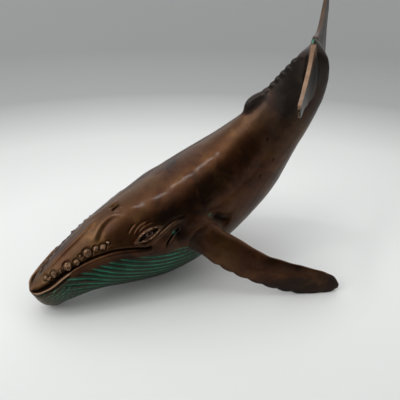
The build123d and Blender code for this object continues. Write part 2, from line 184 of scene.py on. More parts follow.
# Flecks of verdigris behind the cheek and in the pocket: place, angle and strength
FLECKS = [(0.362, 70, 0.6), (0.466, 77, 0.30)]
FLECK_WIDTH = 0.9
CHIN = (0.060, 100)
# Eyeballs: the middle, two places that give the direction of the long axis, then half length,
# half height, bulge and depth in mm
EYEBALL = (0.306, 57.8)
EYE_BACK, EYE_FRONT = (0.33, 57), (0.285, 58.6)
EYE_HALF_LENGTH, EYE_HALF_HEIGHT, EYE_BULGE, EYE_DEPTH = 2.7, 2.0, 1.55, 1.35
# Tubercles of the upper lip: place, angle and share of the common radius
LIP_BEADS = [
    (0.046, 24, 0.85), (0.053, 33, 0.85), (0.066, 31, 1.1), (0.083, 35, 0.55), (0.103, 36, 1.4),
    (0.126, 40, 1.0), (0.140, 35, 0.5), (0.158, 38, 1.4), (0.180, 40, 0.85), (0.196, 43, 1.0),
    (0.212, 42, 0.6),
]
# On the right they lie lower, by degrees, and are smaller
RIGHT_BEAD_DROP = 6
RIGHT_BEAD_SHARE = 0.75
# How rubbed they are on the left and on the right
BEAD_RUBBED = (0.42, 0.05)
# Knuckles of the tail: place along the ridge, and how far behind each one its crease lies
KNUCKLES = [0.826, 0.848, 0.870, 0.891, 0.912, 0.933]
KNUCKLE_CREASE = 0.011

# Bronze: how strongly the marks show, how metallic it is and how much more where rubbed, its
# coat of wax and how much of it the shaded, grimy hollows lose, its roughness from and by, and
# that of those hollows
STRENGTH = {
    "tone": 0.16, "grey": 0.62, "crevice": 0.92, "verdigris": 1.35, "throat": 1.0, "worn": 1.0,
}
METALLIC, RUBBED_METALLIC = 0.92, 0.35
WAX, WAX_LOST = 0.17, 0.16
ROUGH_FROM, ROUGH_BY, DIRT_ROUGH = 0.26, 0.24, 0.62
# Share of the finer patches in its colour, and how much deeper grain goes than specks
FINE_SHARE = 0.38
GRAIN_DEPTH, SPECK_DEPTH = 0.7, 0.25

# Floor: share of its shaded mottles, width of its ovals as a share of their length, how the
# distance in metres is scaled and shifted along the ramp, and the places and colours of that ramp
# of painted shade, which darkens the floor far from the whale
FLOOR_MOTTLE = 0.985
FLOOR_OVAL = (0.62, 1.0, 0.0)
FLOOR_SCALE, FLOOR_SHIFT = 1.6, 0.30
FLOOR_SHADE_RAMP = [
    (0.44, (1, 1, 1)), (0.56, (0.82, 0.825, 0.82)),
    (0.70, (0.39, 0.395, 0.395)), (0.90, (0.28, 0.285, 0.285)),
]
# Room: strength, the way that its lighter side faces, the way of the dark onlooker, and ramps
SURROUND_STRENGTH = 1.44
LIGHT_SIDE = (-0.28, 0.86, 0.42)
LIGHT_RAMP = [(0.0, (0.80, 0.80, 0.81)), (0.35, (0.83, 0.84, 0.85)), (0.8, (0.97, 0.98, 1.0))]
ONLOOKER = (-0.17, -0.70, 0.69)
ONLOOKER_RAMP = [(0.62, (1, 1, 1)), (0.90, (0.08, 0.078, 0.075))]
# Lamps: name, place in metres, size in metres and power in watts
LAMPS = [("overhead", (-0.90, 0.08, 0.86), 0.80, 4.1), ("window", (-0.36, 0.15, 1.18), 0.09, 0.85)]
LAMP_TARGET = Vector((0, 0, 0.04))
SENSOR_WIDTH = 36
# Spacing of the nodes in a tree
NODE_COLUMN, NODE_ROW = 220, 260


# Curves and distances


def smooth_value(table, column, at):
    """A table's column at places along it, on a smooth curve through its rows."""
    places, values = table[:, 0], table[:, column]
    at = np.asarray(at, float)
    gaps = np.diff(places)
    slopes = np.diff(values) / gaps
    bends = np.empty(len(places))
    bends[1:-1] = (slopes[1:] * gaps[:-1] + slopes[:-1] * gaps[1:]) / (gaps[1:] + gaps[:-1])
    bends[0], bends[-1] = slopes[0], slopes[-1]
    row = np.clip(np.searchsorted(places, at, side="right") - 1, 0, len(places) - 2)
    gap = gaps[row]
    t = np.clip((at - places[row]) / gap, 0, 1)
    return (
        (2 * t**3 - 3 * t**2 + 1) * values[row] + (t**3 - 2 * t**2 + t) * gap * bends[row]
        + (3 * t**2 - 2 * t**3) * values[row + 1] + (t**3 - t**2) * gap * bends[row + 1]
    )


def step(low, high, value):
    """0 below low, 1 above high, and smooth between."""
    t = np.clip((np.asarray(value, float) - low) / (high - low), 0, 1)
    return t * t * (3 - 2 * t)


def bell(distance, width):
    """1 at no distance, falling away smoothly."""
    return np.exp(-((distance / width) ** 2))


def crowded(count, power):
    """Places from 0 to 1 that crowd towards 1."""
    return 1 - (1 - np.linspace(0, 1, count)) ** power


def unit(vectors):
    """Vectors of length one."""
    return vectors / np.maximum(np.linalg.norm(vectors, axis=-1, keepdims=True), 1e-12)


def heading(climb, lean):
    """Directions that climb, and lean to the left."""
    return np.stack([np.cos(lean) * np.cos(climb), -np.sin(lean), np.cos(lean) * np.sin(climb)], -1)


def grid_normals(points):
    """Normals of a tube of points, which may all point inwards."""
    around = np.roll(points, -1, 1) - np.roll(points, 1, 1)
    return unit(np.cross(np.gradient(points, axis=0), around))


def tube_normals(points):
    """Directions out of a tube of points."""
    out = grid_normals(points)
    side = np.sign(np.sum(out * (points - points.mean(1, keepdims=True)), -1).mean(1))
    return out * side[:, None, None]


def tube_faces(rows, columns):
    """The faces of an open tube, each as four vertex numbers."""
    index = np.arange(rows * columns).reshape(rows, columns)
    following = np.roll(index, -1, 1)
    return np.stack([index[:-1], following[:-1], following[1:], index[1:]], -1).reshape(-1, 4)


def tree_of(points):
    """A search tree over a tube of points."""
    return BVHTree.FromPolygons(points.reshape(-1, 3).tolist(), tube_faces(*points.shape[:2]).tolist())


def distance_to(points, tree, reach):
    """Distance of each point to a tree, up to a reach."""
    single = points.reshape(-1, 3)
    found = np.full(len(single), reach)
    for index, point in enumerate(single):
        hit = tree.find_nearest(Vector(point), reach)
        if hit[0] is not None:
            found[index] = hit[3]
    return found.reshape(points.shape[:-1])


def on_ground(points):
    """The points, with those below the ground set on it."""
    points[..., 2] = np.maximum(points[..., 2], 0)
    return points


# The body's form


class Whale:
    """The whale's spine and skin, in millimetres."""

    steps = 400

    def __init__(self, sizes):
        self.sizes = sizes
        places = (np.arange(self.steps) + 0.5) / self.steps
        climb, lean = (np.radians(smooth_value(SPINE_COURSE, column, places)) for column in (1, 2))
        start = np.array([-sizes.snout_left - sizes.middle_x, -sizes.snout_left, sizes.snout_height])
        run = np.cumsum(heading(climb, lean), 0) * sizes.spine_length / self.steps
        self.spine = np.vstack([start, start + run])

    def middle(self, place):
        """Points of the spine."""
        at = np.linspace(0, 1, self.steps + 1)
        return np.stack([np.interp(place, at, self.spine[:, k]) for k in range(3)], -1)

    def axes(self, place):
        """Directions backwards, to the ridge of the back, and left."""
        turns = (np.radians(smooth_value(SPINE_COURSE, column, place)) for column in (1, 2, 3))
        climb, lean, twist = turns
        ridge = np.stack([-np.sin(climb), np.zeros_like(climb), np.cos(climb)], -1)
        left = -np.stack([np.sin(lean) * np.cos(climb), np.cos(lean), np.sin(lean) * np.sin(climb)], -1)
        c, s = np.cos(twist)[..., None], np.sin(twist)[..., None]
        return heading(climb, lean), ridge * c + left * s, left * c - ridge * s

    def offsets(self, place, turn):
        """How far the skin lies left of the spine and above it, at a turn from the back in radians."""
        sizes = self.sizes
        side, rise = np.sin(turn), np.cos(turn)
        width, back, belly, back_fullness, belly_fullness = (
            smooth_value(BODY_SHARES, column, place) for column in range(1, 6)
        )
        upper = rise > 0
        power = 2 / np.where(upper, back_fullness, belly_fullness)
        across = width * sizes.half_width * np.sign(side) * np.abs(side) ** power
        height = np.where(upper, back * sizes.back_height, belly * sizes.belly_depth)
        return across, height * np.sign(rise) * np.abs(rise) ** power

    def skin(self, place, angle):
        """Points of the smooth skin at places and degrees from the back."""
        place, turn = np.broadcast_arrays(np.asarray(place, float), np.radians(angle))
        across, up = self.offsets(place, turn)
        _, ridge, left = self.axes(place)
        return self.middle(place) + left * across[..., None] + ridge * up[..., None]

    def normal(self, place, angle):
        """Directions out of the smooth skin."""
        nudge, turn = 0.003, 2
        before, after = np.maximum(place - nudge, 0), np.minimum(place + nudge, 1)
        along = self.skin(after, angle) - self.skin(before, angle)
        around = self.skin(place, angle + turn) - self.skin(place, angle - turn)
        out = unit(np.cross(along, around))
        side = np.sign(np.sum(out * (self.skin(place, angle) - self.middle(place)), -1))
        return out * side[..., None]


class SkinGrid:
    """A stretch of skin: rows along the spine, columns round it, and what is carved on it."""

    half_columns = 176
    belly_crowding = 1.12
    girth_steps = 720

    def __init__(self, whale, rows):
        self.whale = whale
        turns = np.linspace(pi, 0, self.girth_steps + 1)
        share = np.linspace(0, 1, self.half_columns + 1) ** self.belly_crowding
        half = np.empty((len(rows), len(share)))
        girth = np.empty_like(half)
        for index, place in enumerate(rows):
            across, up = whale.offsets(place, turns)
            run = np.concatenate([[0], np.cumsum(np.hypot(np.diff(across), np.diff(up)))])
            girth[index] = share * run[-1]
            half[index] = np.interp(girth[index], run, turns)
        half[:, 0], half[:, -1] = pi, 0
        self.turn = np.concatenate([half, -half[:, -2:0:-1]], 1)
        self.girth = np.concatenate([girth, girth[:, -2:0:-1]], 1)
        self.place = np.repeat(np.asarray(rows)[:, None], self.turn.shape[1], 1)
        self.point = whale.skin(self.place, np.degrees(self.turn))
        self.spine = whale.middle(self.place)
        out = grid_normals(self.point)
        self.out = out * np.sign(np.sum(out * (self.point - self.spine), -1, keepdims=True))
        self.lift = np.zeros(self.turn.shape)
        self.marks = {title: np.zeros(self.turn.shape) for title in MARKS}

    def trace(self, path, mirrored):
        """Which vertices lie near a path, their distance from it, share along it, and side of it."""
        path = np.array(path, float)
        fine = np.linspace(0, len(path) - 1, 8 * len(path))
        ruler = np.column_stack([np.arange(len(path)), path])
        place, angle = (smooth_value(ruler, column, fine) for column in (1, 2))
        line = self.whale.skin(place, -angle if mirrored else angle)
        low, high = line.min(0) - STROKE_REACH, line.max(0) + STROKE_REACH
        near = np.all((self.point > low) & (self.point < high), -1)
        points, out = self.point[near], self.out[near]
        start, run = line[:-1], np.diff(line, axis=0)
        best = np.full(len(points), np.inf)
        share, side = np.zeros(len(points)), np.ones(len(points))
        for index in range(len(run)):
            offset = points - start[index]
            t = np.clip(offset @ run[index] / (run[index] @ run[index]), 0, 1)
            gap = offset - t[:, None] * run[index]
            distance = np.linalg.norm(gap, axis=1)
            closer = distance < best
            best[closer] = distance[closer]
            share[closer] = ((index + t) / len(run))[closer]
            side[closer] = np.sign(np.sum(np.cross(run[index], gap) * out, -1))[closer]
        return near, best, share, (-side if mirrored else side)

    def carve(self, path, ends, both=True, **strokes):
        """Draws strokes along a path, which fade at its ends.

        A stroke is (height, width, offset to one side) in mm. One that has the name of a mark
        is paint instead of relief, and its first number is the amount.
        """
        for mirrored in (False, True) if both else (False,):
            near, distance, share, side = self.trace(path, mirrored)
            fade = step(0, ends, share) * (1 - step(1 - ends, 1, share))
            for title, (amount, width, offset) in strokes.items():
                stroke = amount * fade * bell(distance * side - offset, width)
                if title in MARKS:
                    self.marks[title][near] = np.maximum(self.marks[title][near], stroke)
                else:
                    self.lift[near] += stroke

    def mark(self, title, amount):
        """Keeps the greater of a mark and an amount."""
        self.marks[title] = np.maximum(self.marks[title], amount)

    def distance(self, place, angle=0.0):
        """How far each vertex lies from a spot of the skin."""
        return np.linalg.norm(self.point - self.whale.skin(place, angle), axis=-1)

    def swell(self, place, angle, height, width, crevice=0.0):
        """Raises a round swelling, or sinks a pit."""
        distance = self.distance(place, angle)
        self.lift += height * bell(distance, width)
        if crevice:
            self.mark("crevice", crevice * bell(distance, width))
        return distance

    def vertices(self):
        """The carved points, standing on the ground."""
        return on_ground(self.point + self.out * self.lift[..., None])

    def drawn_in(self, points, share):
        """The points at a share of their distance from the spine."""
        return self.spine + (points - self.spine) * share[..., None]


class Shells:
    """Closed shells gathered into one mesh, with the marks that each vertex carries."""

    def __init__(self):
        self.points, self.faces, self.marks = [], [], []
        self.count = 0

    def add_grid(self, points, marks=None):
        """Adds a tube given as rows of points, with a fan of faces on a middle point at each end."""
        rows, columns = points.shape[:2]
        start, end = rows * columns, rows * columns + 1
        last = start - columns
        faces = tube_faces(rows, columns).tolist()
        faces += [(start, (k + 1) % columns, k) for k in range(columns)]
        faces += [(end, last + k, last + (k + 1) % columns) for k in range(columns)]
        self.faces += [tuple(self.count + corner for corner in face) for face in faces]
        ends = np.stack([points[0].mean(0), points[-1].mean(0)])
        self.points.append(np.concatenate([points.reshape(-1, 3), ends]))
        table = np.zeros((start + 2, len(MARKS)))
        for title, values in (marks or {}).items():
            table[:-2, MARKS.index(title)] = np.broadcast_to(values, (rows, columns)).reshape(-1)
        self.marks.append(table)
        self.count += start + 2

    def make(self, name, material):
        """The Blender object, in metres, smooth and with its marks as attributes."""
        mesh = bpy.data.meshes.new(name)
        mesh.from_pydata((np.concatenate(self.points) * MM).tolist(), [], self.faces)
        for title, values in zip(MARKS, np.concatenate(self.marks).T):
            add_attribute(mesh, title, values)
        mesh.polygons.foreach_set("use_smooth", np.ones(len(mesh.polygons), bool))
        mesh.update()
        face_outwards(mesh)
        mesh.set_sharp_from_angle(angle=SHARP_ANGLE)
        mesh.materials.append(material)
        return add_object(name, mesh)


def add_attribute(mesh, title, values):
    """Gives each vertex a number or a direction."""
    kind, key = ("FLOAT", "value") if values.ndim == 1 else ("FLOAT_VECTOR", "vector")
    layer = mesh.attributes.new(title, kind, "POINT")
    layer.data.foreach_set(key, values.astype(np.float32).ravel())


def add_object(name, data):
    """An object in the scene, for a mesh, a lamp or a camera."""
    made = bpy.data.objects.new(name, data)
    bpy.context.scene.collection.objects.link(made)
    return made


def aim(thing, direction):
    """Turns a lamp or the camera to look in a direction."""
    thing.rotation_mode = "QUATERNION"
    thing.rotation_quaternion = direction.to_track_quat("-Z", "Y")


def face_outwards(mesh):
    """Turns every face of a closed mesh outwards."""
    made = bmesh.new()
    made.from_mesh(mesh)
    bmesh.ops.recalc_face_normals(made, faces=made.faces)
    made.to_mesh(mesh)
    made.free()


# Parts of the whale


def flipper_points(whale, rows, columns):
    """The left flipper as rows of points from its root to its tip.

    Round each row, forward goes from 1 on the leading edge to -1 on the trailing one.
    """
    sizes = whale.sizes

    def centre(at):
        reach, spread, drop = (smooth_value(FLIPPER_SHARES, column, at) for column in (1, 2, 3))
        return np.stack([
            sizes.flipper_root_x - sizes.middle_x + sizes.flipper_reach * reach,
            -sizes.flipper_root_side - sizes.flipper_spread * spread,
            sizes.flipper_root_height - sizes.flipper_drop * drop,
        ], -1)

    at = crowded(rows, power=1.35)
    nudge = 0.01
    outwards = unit(centre(np.minimum(at + nudge, 1)) - centre(np.maximum(at - nudge, 0)))
    hang = np.radians(smooth_value(FLIPPER_SHARES, 6, at))
    leading = -np.stack([np.cos(hang), np.zeros_like(hang), np.sin(hang)], -1)
    leading = unit(leading - outwards * np.sum(leading * outwards, -1, keepdims=True))
    upper = np.cross(leading, outwards)
    chord = smooth_value(FLIPPER_SHARES, 4, at) * sizes.flipper_chord / 2
    thick = smooth_value(FLIPPER_SHARES, 5, at) * sizes.flipper_thickness / 2
    turn = np.linspace(0, 2 * pi, columns, endpoint=False)
    forward = np.cos(turn)
    knobs_start = 0.22
    knob = np.clip(at - knobs_start, 0, 1) / (1 - knobs_start) * sizes.knob_count
    waves = step(0.16, 0.30, at) * sizes.knob_size * 2 * np.abs(np.sin(pi * knob)) ** 0.8
    bump = 1 + waves[:, None] * np.maximum(forward, 0) ** 2
    waist = 1 - 0.42 * (1 - step(0.04, 0.42, at))
    along = chord[:, None] * forward * np.where(forward > 0, bump, waist[:, None])
    over = thick[:, None] * np.sin(turn) * (1 + 0.15 * forward)
    across = leading[:, None] * along[..., None] + upper[:, None] * over[..., None]
    return centre(at)[:, None] + across, at, forward


def fluke_points(whale, side, rows, columns):
    """One fluke as rows of points from inside the tail to its tip.

    Each row goes from the leading edge, where aft is 0, to the trailing one, where it is 1, over
    the upper side, and back under it.
    """
    sizes = whale.sizes
    back, ridge, left = whale.axes(1.0)
    at = np.concatenate([[-0.03], crowded(rows - 1, power=1.3)])
    lead, trail, thick = (smooth_value(FLUKE_SHARES, column, np.abs(at)) for column in (1, 2, 3))
    lead, trail = lead * sizes.fluke_chord, trail * sizes.fluke_chord
    half = thick * sizes.fluke_thickness / 2
    edge = np.minimum(sizes.fluke_edge / 2, half * 0.8)
    upper = np.linspace(0, 1, columns // 2)
    aft = np.concatenate([upper, upper[::-1]])
    sign = np.concatenate([np.ones(columns // 2), -np.ones(columns // 2)])
    rounding = np.sqrt(np.minimum(aft / 0.2, 1))
    x = -(trail[:, None] + (lead - trail)[:, None] * (1 - aft**2))
    fatness = smooth_value(FLUKE_FATNESS, 1, aft)
    y = sign * (edge[:, None] * rounding + (half - edge)[:, None] * fatness)
    if side < 0:
        y = y + x * tan(sizes.fluke_curl) * step(0.0, 0.35, at)[:, None]
    middle = whale.middle(1.0) + left * (sizes.fluke_half_span * at * side)[:, None]
    return middle[:, None] + back * x[..., None] + ridge * y[..., None], at, aft


def carve_head(grid):
    """Mouth, lip, crown, splash guard, blowholes, eyes and folds."""
    # Strokes of the hollow mark paint shade, with some grime, into the mouth, lip gap, blowholes, eye,
    # lids, brows, folds, gill crease and the pit behind it
    grid.carve(
        MOUTH, 0.02,
        cut=(-1.15, 0.7, 0), upper=(0.50, 1.3, -1.9), lower=(0.30, 1.5, 1.9), crevice=(1.0, 0.75, 0),
    )
    grid.carve(MOUTH[:7], 0.15, deep=(-0.8, 1.1, 0.8), crevice=(0.85, 1.7, 0.4))
    grid.carve(
        LOWER_LIP, 0.1,
        rim=(0.75, 0.55, 0), gap=(-0.7, 0.9, -1.35), worn=(0.8, 0.5, 0), crevice=(0.9, 0.9, -1.5),
    )
    grid.carve(CROWN_RIDGE, 0.25, both=False, crest=(0.6, 1.5, 0))
    grid.carve(SPLASH_GUARD, 0.25, rim=(0.5, 2.0, 0), inner=(-0.2, 1.5, -3.0), worn=(0.12, 1.5, 0))
    grid.carve(
        BLOWHOLE, 0.2,
        slit=(-0.7, 0.6, 0), inner=(0.2, 0.8, 1.4), outer=(0.35, 1.1, -1.7), crevice=(0.85, 0.55, 0),
    )
    for side in (1, -1):
        for place, angle, height, width, crevice in SWELLINGS:
            grid.swell(place, angle * side, height, width, crevice)
        for place, angle, amount in FLECKS:
            grid.mark("verdigris", amount * bell(grid.distance(place, angle * side), FLECK_WIDTH))
        mottle_chin(grid, side)
    grid.carve(EYE, 0.3, socket=(-1.1, 1.5, 0), crevice=(0.9, 1.5, 0))
    grid.carve(
        UPPER_LID, 0.12,
        rim=(0.85, 0.62, 0), above=(-0.4, 0.6, -1.2), worn=(0.45, 0.5, 0), crevice=(0.6, 0.4, -1.2),
    )
    grid.carve(
        LOWER_LID, 0.12,
        rim=(0.65, 0.55, 0), below=(-0.35, 0.6, 1.1), worn=(0.4, 0.45, 0), crevice=(0.5, 0.4, 1.2),
    )
    for brow in BROWS:
        grid.carve(brow, 0.3, rim=(0.34, 0.5, 0), dip=(-0.30, 0.5, 0.95), crevice=(0.35, 0.4, 0.95))
    grid.carve(
        CHEEK_FOLD, 0.1,
        rim=(0.55, 0.75, 0), under=(-0.5, 0.9, 1.5), worn=(0.15, 0.6, 0), crevice=(0.75, 0.6, 1.5),
    )
    grid.carve(GILL_CREASE, 0.2, cut=(-1.4, 0.65, 0), front=(0.4, 1.2, -1.8), crevice=(1.0, 0.7, 0))


def mottle_chin(grid, side):
    """Small uneven flecks of verdigris under the chin."""
    x, y, z = (grid.point[..., k] for k in range(3))
    coarse = np.sin(x * 2.3 + 0.9 * z) * np.sin(z * 3.1 - 1.2 * y)
    fine = np.sin(x * 4.4 + y) * np.sin(z * 4.9 + 2 * x)
    flecks = coarse + 0.7 * fine
    chin = grid.distance(CHIN[0], CHIN[1] * side)
    below = step(60, 72, np.degrees(np.abs(grid.turn)))
    grid.mark("verdigris", 0.9 * np.clip(flecks - 0.4, 0, 1) * bell(chin, 11.0) * below)
    grid.mark("throat", 0.95 * bell(chin, 14.0) * below)
    grid.lift += 0.10 * np.clip(flecks, -1, 1) * bell(chin, 11.0) * below


def carve_throat(grid):
    """The long throat pleats, from behind the chin to the chest."""
    sizes = grid.whale.sizes
    places, angles = np.array(MOUTH, float).T
    at, girth = grid.place, grid.girth
    half = grid.turn.shape[1] // 2 + 1
    mouth_turn = np.radians(np.interp(at[:, 0], places, angles))
    jaw = np.array([
        np.interp(-turn, -grid.turn[k, :half], girth[k, :half]) for k, turn in enumerate(mouth_turn)
    ])[:, None]
    below_jaw = jaw - 2.2 - 3.2 * step(0.05, 0.16, at)
    below_flank = 49.5 - 18 * np.maximum(at - 0.30, 0)
    below = np.minimum(below_jaw, below_flank) - girth
    line = girth + sizes.pleat_closing * (at - 0.25)
    pleat = line / sizes.pleat_pitch
    nearest = np.abs(pleat - np.round(pleat)) * sizes.pleat_pitch
    begin = 0.068 + 0.02 * np.sin(line * 1.7)
    uneven = 0.012 * np.sin(line * 0.9) - 0.02 * step(30, 48, girth)
    stop = sizes.pleat_end - 0.010 + uneven
    mask = step(0, 1.4, below) * step(begin, begin + 0.045, at) * (1 - step(stop, stop + 0.02, at))
    groove = 1 - step(0.0, 0.9, nearest)
    crown = bell(nearest - sizes.pleat_pitch / 2, 1.2)
    grid.lift += mask * (-sizes.pleat_depth * groove + 0.12 * crown)
    # Painted shade, with some grime, deepens the pleat grooves
    grid.mark("crevice", 0.55 * mask * (1 - step(0.35, 1.0, nearest)))
    patchy = 0.88 + 0.12 * np.sin(girth * 0.35 + 9 * at) * np.sin(31 * at + 1.1)
    grid.mark("verdigris", mask * (1 - step(0.15, 0.60, nearest)) * patchy)
    grid.mark("throat", step(-1, 3, below) * step(0.02, 0.07, at) * (1 - step(0.395, 0.43, at)))


def weather(grid):
    """What body and tail share: dorsal fin, knuckles, waviness of the wax, patches and pits."""
    sizes = grid.whale.sizes
    x, y, z = (grid.point[..., k] for k in range(3))
    waves = (
        np.sin(x * 0.31 + 1.3 * np.sin(z * 0.23)) * np.sin(y * 0.37 + z * 0.29 + 0.7)
        + 0.6 * np.sin(x * 0.63 + y * 0.41 + 2.0) * np.sin(z * 0.71 - x * 0.17)
    )
    strength = (0.3 + 0.7 * step(0.10, 0.30, grid.place)) * step(0.0, 0.03, grid.place)
    grid.lift += 0.07 * (waves - 1.3) * strength
    beside = grid.distance(grid.place[:, :1])
    within_fin = (grid.place > FIN_SHARES[0, 0]) & (grid.place < FIN_SHARES[-1, 0])
    rise = np.where(within_fin, smooth_value(FIN_SHARES, 1, grid.place), 0)
    grid.lift += sizes.fin_height * rise * np.exp(-((beside / sizes.fin_width) ** 2.4))
    grid.marks["tone"] -= 3.0 * rise * bell(beside, 5.0)
    for place in KNUCKLES:
        distance = grid.distance(place)
        grid.lift += sizes.knuckle_height * np.exp(-((distance / sizes.knuckle_reach) ** 3))
        grid.marks["tone"] -= 1.4 * bell(distance, 2.2)
        # Painted shade, with some grime, lies in the crease behind each knuckle
        grid.mark("crevice", 0.5 * bell(grid.distance(place + KNUCKLE_CREASE), 1.0))
    # The pits are darkened with painted shade and some grime
    for place, angle in PITS:
        grid.swell(place, angle, height=-0.40, width=0.7, crevice=0.9)
    for place, angle, reach, light in PATCHES:
        for side in (1, -1):
            grid.marks["tone"] += light * bell(grid.distance(place, angle * side), reach)
    grid.mark("grey", step(0.66, 0.90, grid.place + 0.00012 * (x + z)))


def seat_beads(grid):
    """A low mound with a crease round it, darkened with painted shade, under each tubercle."""
    for place, angle, share in LIP_BEADS:
        radius = grid.whale.sizes.bead_radius * share
        for side in (1, -1):
            distance = grid.swell(place, angle * side, height=0.30, width=1.5 * radius)
            grid.lift -= 0.35 * bell(distance - 1.25 * radius, 0.5)
            grid.mark("crevice", 0.9 * bell(distance - 1.15 * radius, 0.55))


def seat_flippers(grid):
    """The pockets behind the flippers, dark with painted shadow, and the fillets round their roots."""
    grid.carve(POCKET, 0.35, cut=(-2.2, 2.8, 0), crevice=(1.0, 3.3, 0))
    left, _, _ = flipper_points(grid.whale, *COARSE_FLIPPER_GRID)
    for side in (1, -1):
        near = distance_to(grid.point, tree_of(left * (1, side, 1)), reach=7.0)
        grid.lift += 1.3 * bell(near, 2.4)
        grid.marks["tone"] += 0.55 * bell(near, 9.0)


def tail_points(grid):
    """The end of the tail, flattened towards the flukes and rounded off at its end."""
    points = grid.vertices()
    _, ridge, _ = grid.whale.axes(grid.place)
    above = np.sum((points - grid.spine) * ridge, -1)
    flatten = np.where(above > 0, 0.8, 0.35) * step(0.955, 1.0, grid.place)
    points -= ridge * (above * flatten)[..., None]
    start, length = TAIL_ROUND
    points = grid.drawn_in(points, np.sqrt(1 - np.clip((grid.place - start) / length, 0, 1) ** 2))
    return np.minimum(points, BOX_CORNER)


def finished_fluke(fluke, stock, rubbed, flare):
    """A fluke's points with the fillet round its root, and its marks."""
    points, at, aft = fluke
    near = distance_to(points, stock, reach=14.0)
    outer = at[:, None]
    upper_side = np.arange(len(aft)) < len(aft) // 2
    within = np.where(upper_side, 0.35, 1.0) * (1 - step(0.82, 0.97, aft))
    fillet = 0.7 * bell(near, 2.2)
    spread = flare * bell(near, 9.0) * within
    lift = (fillet + spread) * (outer > 0)
    trailing = rubbed * step(0.91, 0.97, aft) * step(0.02, 0.09, outer)
    leading = 0.6 * (1 - step(0.02, 0.10, aft)) * step(0.2, 0.5, outer)
    marks = {
        "worn": np.maximum(leading, trailing),
        # Painted shade, with some grime, round the fluke's root
        "crevice": 0.6 * bell(near, 0.8),
        "verdigris": 0.8 * (1 - step(0.0, 0.05, outer)) * step(0.8, 0.95, aft),
        "grey": 0.35,
        "tone": -2.4,
    }
    return np.minimum(points + tube_normals(points) * lift[..., None], BOX_CORNER), marks


def finished_flipper(whale):
    """The left flipper's points, with fillet, waviness and veins, and its marks."""
    points, at, forward = flipper_points(whale, *FLIPPER_GRID)
    angles = np.linspace(-180, 180, 120, endpoint=False)
    flank = whale.skin(np.linspace(0.3, 0.55, 90)[:, None], angles[None])
    near = distance_to(points, tree_of(flank), reach=9.0)
    outer = at[:, None]
    x, y, z = (points[..., k] for k in range(3))
    waves = np.sin(x * 0.45 + y * 0.3) * np.sin(z * 0.5 + x * 0.2)
    vein_count, vein_height = 7, 0.16
    veins = np.sin(outer * 2 * pi * vein_count) * step(0.3, 0.45, outer) * np.maximum(-forward, 0) ** 2
    fillet = 1.1 * bell(near, 2.8)
    lift = fillet + 0.10 * (waves - 1.3) + vein_height * veins
    marks = {
        "worn": 0.30 * step(0.93, 1.0, -forward) * step(0.05, 0.2, outer),
        # Painted shade, with some grime, along the knobbed leading edge, which is the lower one
        "crevice": 0.4 * step(0.2, 0.4, outer) * step(0.75, 1.0, forward),
        "tone": 0.05 + 0.35 * bell(outer - 0.35, 0.22) - 0.8 * bell(outer - 0.85, 0.30),
    }
    return points + tube_normals(points) * lift[..., None], marks


# Node trees


def feed(socket, value):
    """Links an output to an input, or sets the input to a number, vector, colour or word."""
    if isinstance(value, bpy.types.NodeSocket):
        socket.id_data.links.new(value, socket)
    else:
        socket.default_value = (*value, 1) if socket.type == "RGBA" else value


def node(tree, kind, *values, **named):
    """Adds a node. Values feed its inputs in order.

    A name with a capital is that of an input, with its spaces as underscores, and any other is
    a setting.
    """
    made = tree.nodes.new(kind)
    for title, value in named.items():
        if title[0].isupper():
            feed(made.inputs[title.replace("_", " ")], value)
        else:
            setattr(made, title, value)
    for socket, value in zip(made.inputs, values):
        feed(socket, value)
    return made


def calculate(tree, kind, *values, clamp=False):
    """The result of a Math node on sockets and numbers."""
    return node(tree, "ShaderNodeMath", *values, operation=kind, use_clamp=clamp).outputs[0]


def vector(tree, kind, *values, result="Vector", **named):
    """The result of a Vector Math node."""
    return node(tree, "ShaderNodeVectorMath", *values, operation=kind, **named).outputs[result]


def ramp(tree, factor, *stops):
    """Colours that change along a ramp, with stops of place and colour."""
    made = node(tree, "ShaderNodeValToRGB", factor)
    line = made.color_ramp
    while len(line.elements) < len(stops):
        line.elements.new(0.5)
    for element, (place, colour) in zip(line.elements, stops):
        element.position = place
        element.color = (*colour, 1)
    return made.outputs[0]


def mix(tree, factor, first, second, mode="MIX"):
    """Mixes two colours."""
    made = node(tree, "ShaderNodeMix", data_type="RGBA", blend_type=mode)
    for index, value in ((0, factor), (6, first), (7, second)):
        feed(made.inputs[index], value)
    return made.outputs[2]


def noise(tree, **values):
    """Noise on the piece's own coordinates."""
    where = node(tree, "ShaderNodeTexCoord").outputs["Object"]
    return node(tree, "ShaderNodeTexNoise", Vector=where, **values).outputs["Fac"]


def mark(tree, title):
    """What each vertex tells under the name of a mark, as strongly as it shows."""
    told = node(tree, "ShaderNodeAttribute", attribute_name=title).outputs["Fac"]
    return calculate(tree, "MULTIPLY", told, STRENGTH[title])


def lay_out(tree):
    """Places the nodes in columns, each to the left of what it feeds."""
    column = {made.name: 0 for made in tree.nodes}
    for _ in column:
        for link in tree.links:
            left, right = link.from_node.name, link.to_node.name
            column[left] = max(column[left], column[right] + 1)
    filled = [0] * (len(column) + 1)
    for made in tree.nodes:
        place = column[made.name]
        made.location = (-NODE_COLUMN * place, -NODE_ROW * filled[place])
        filled[place] += 1


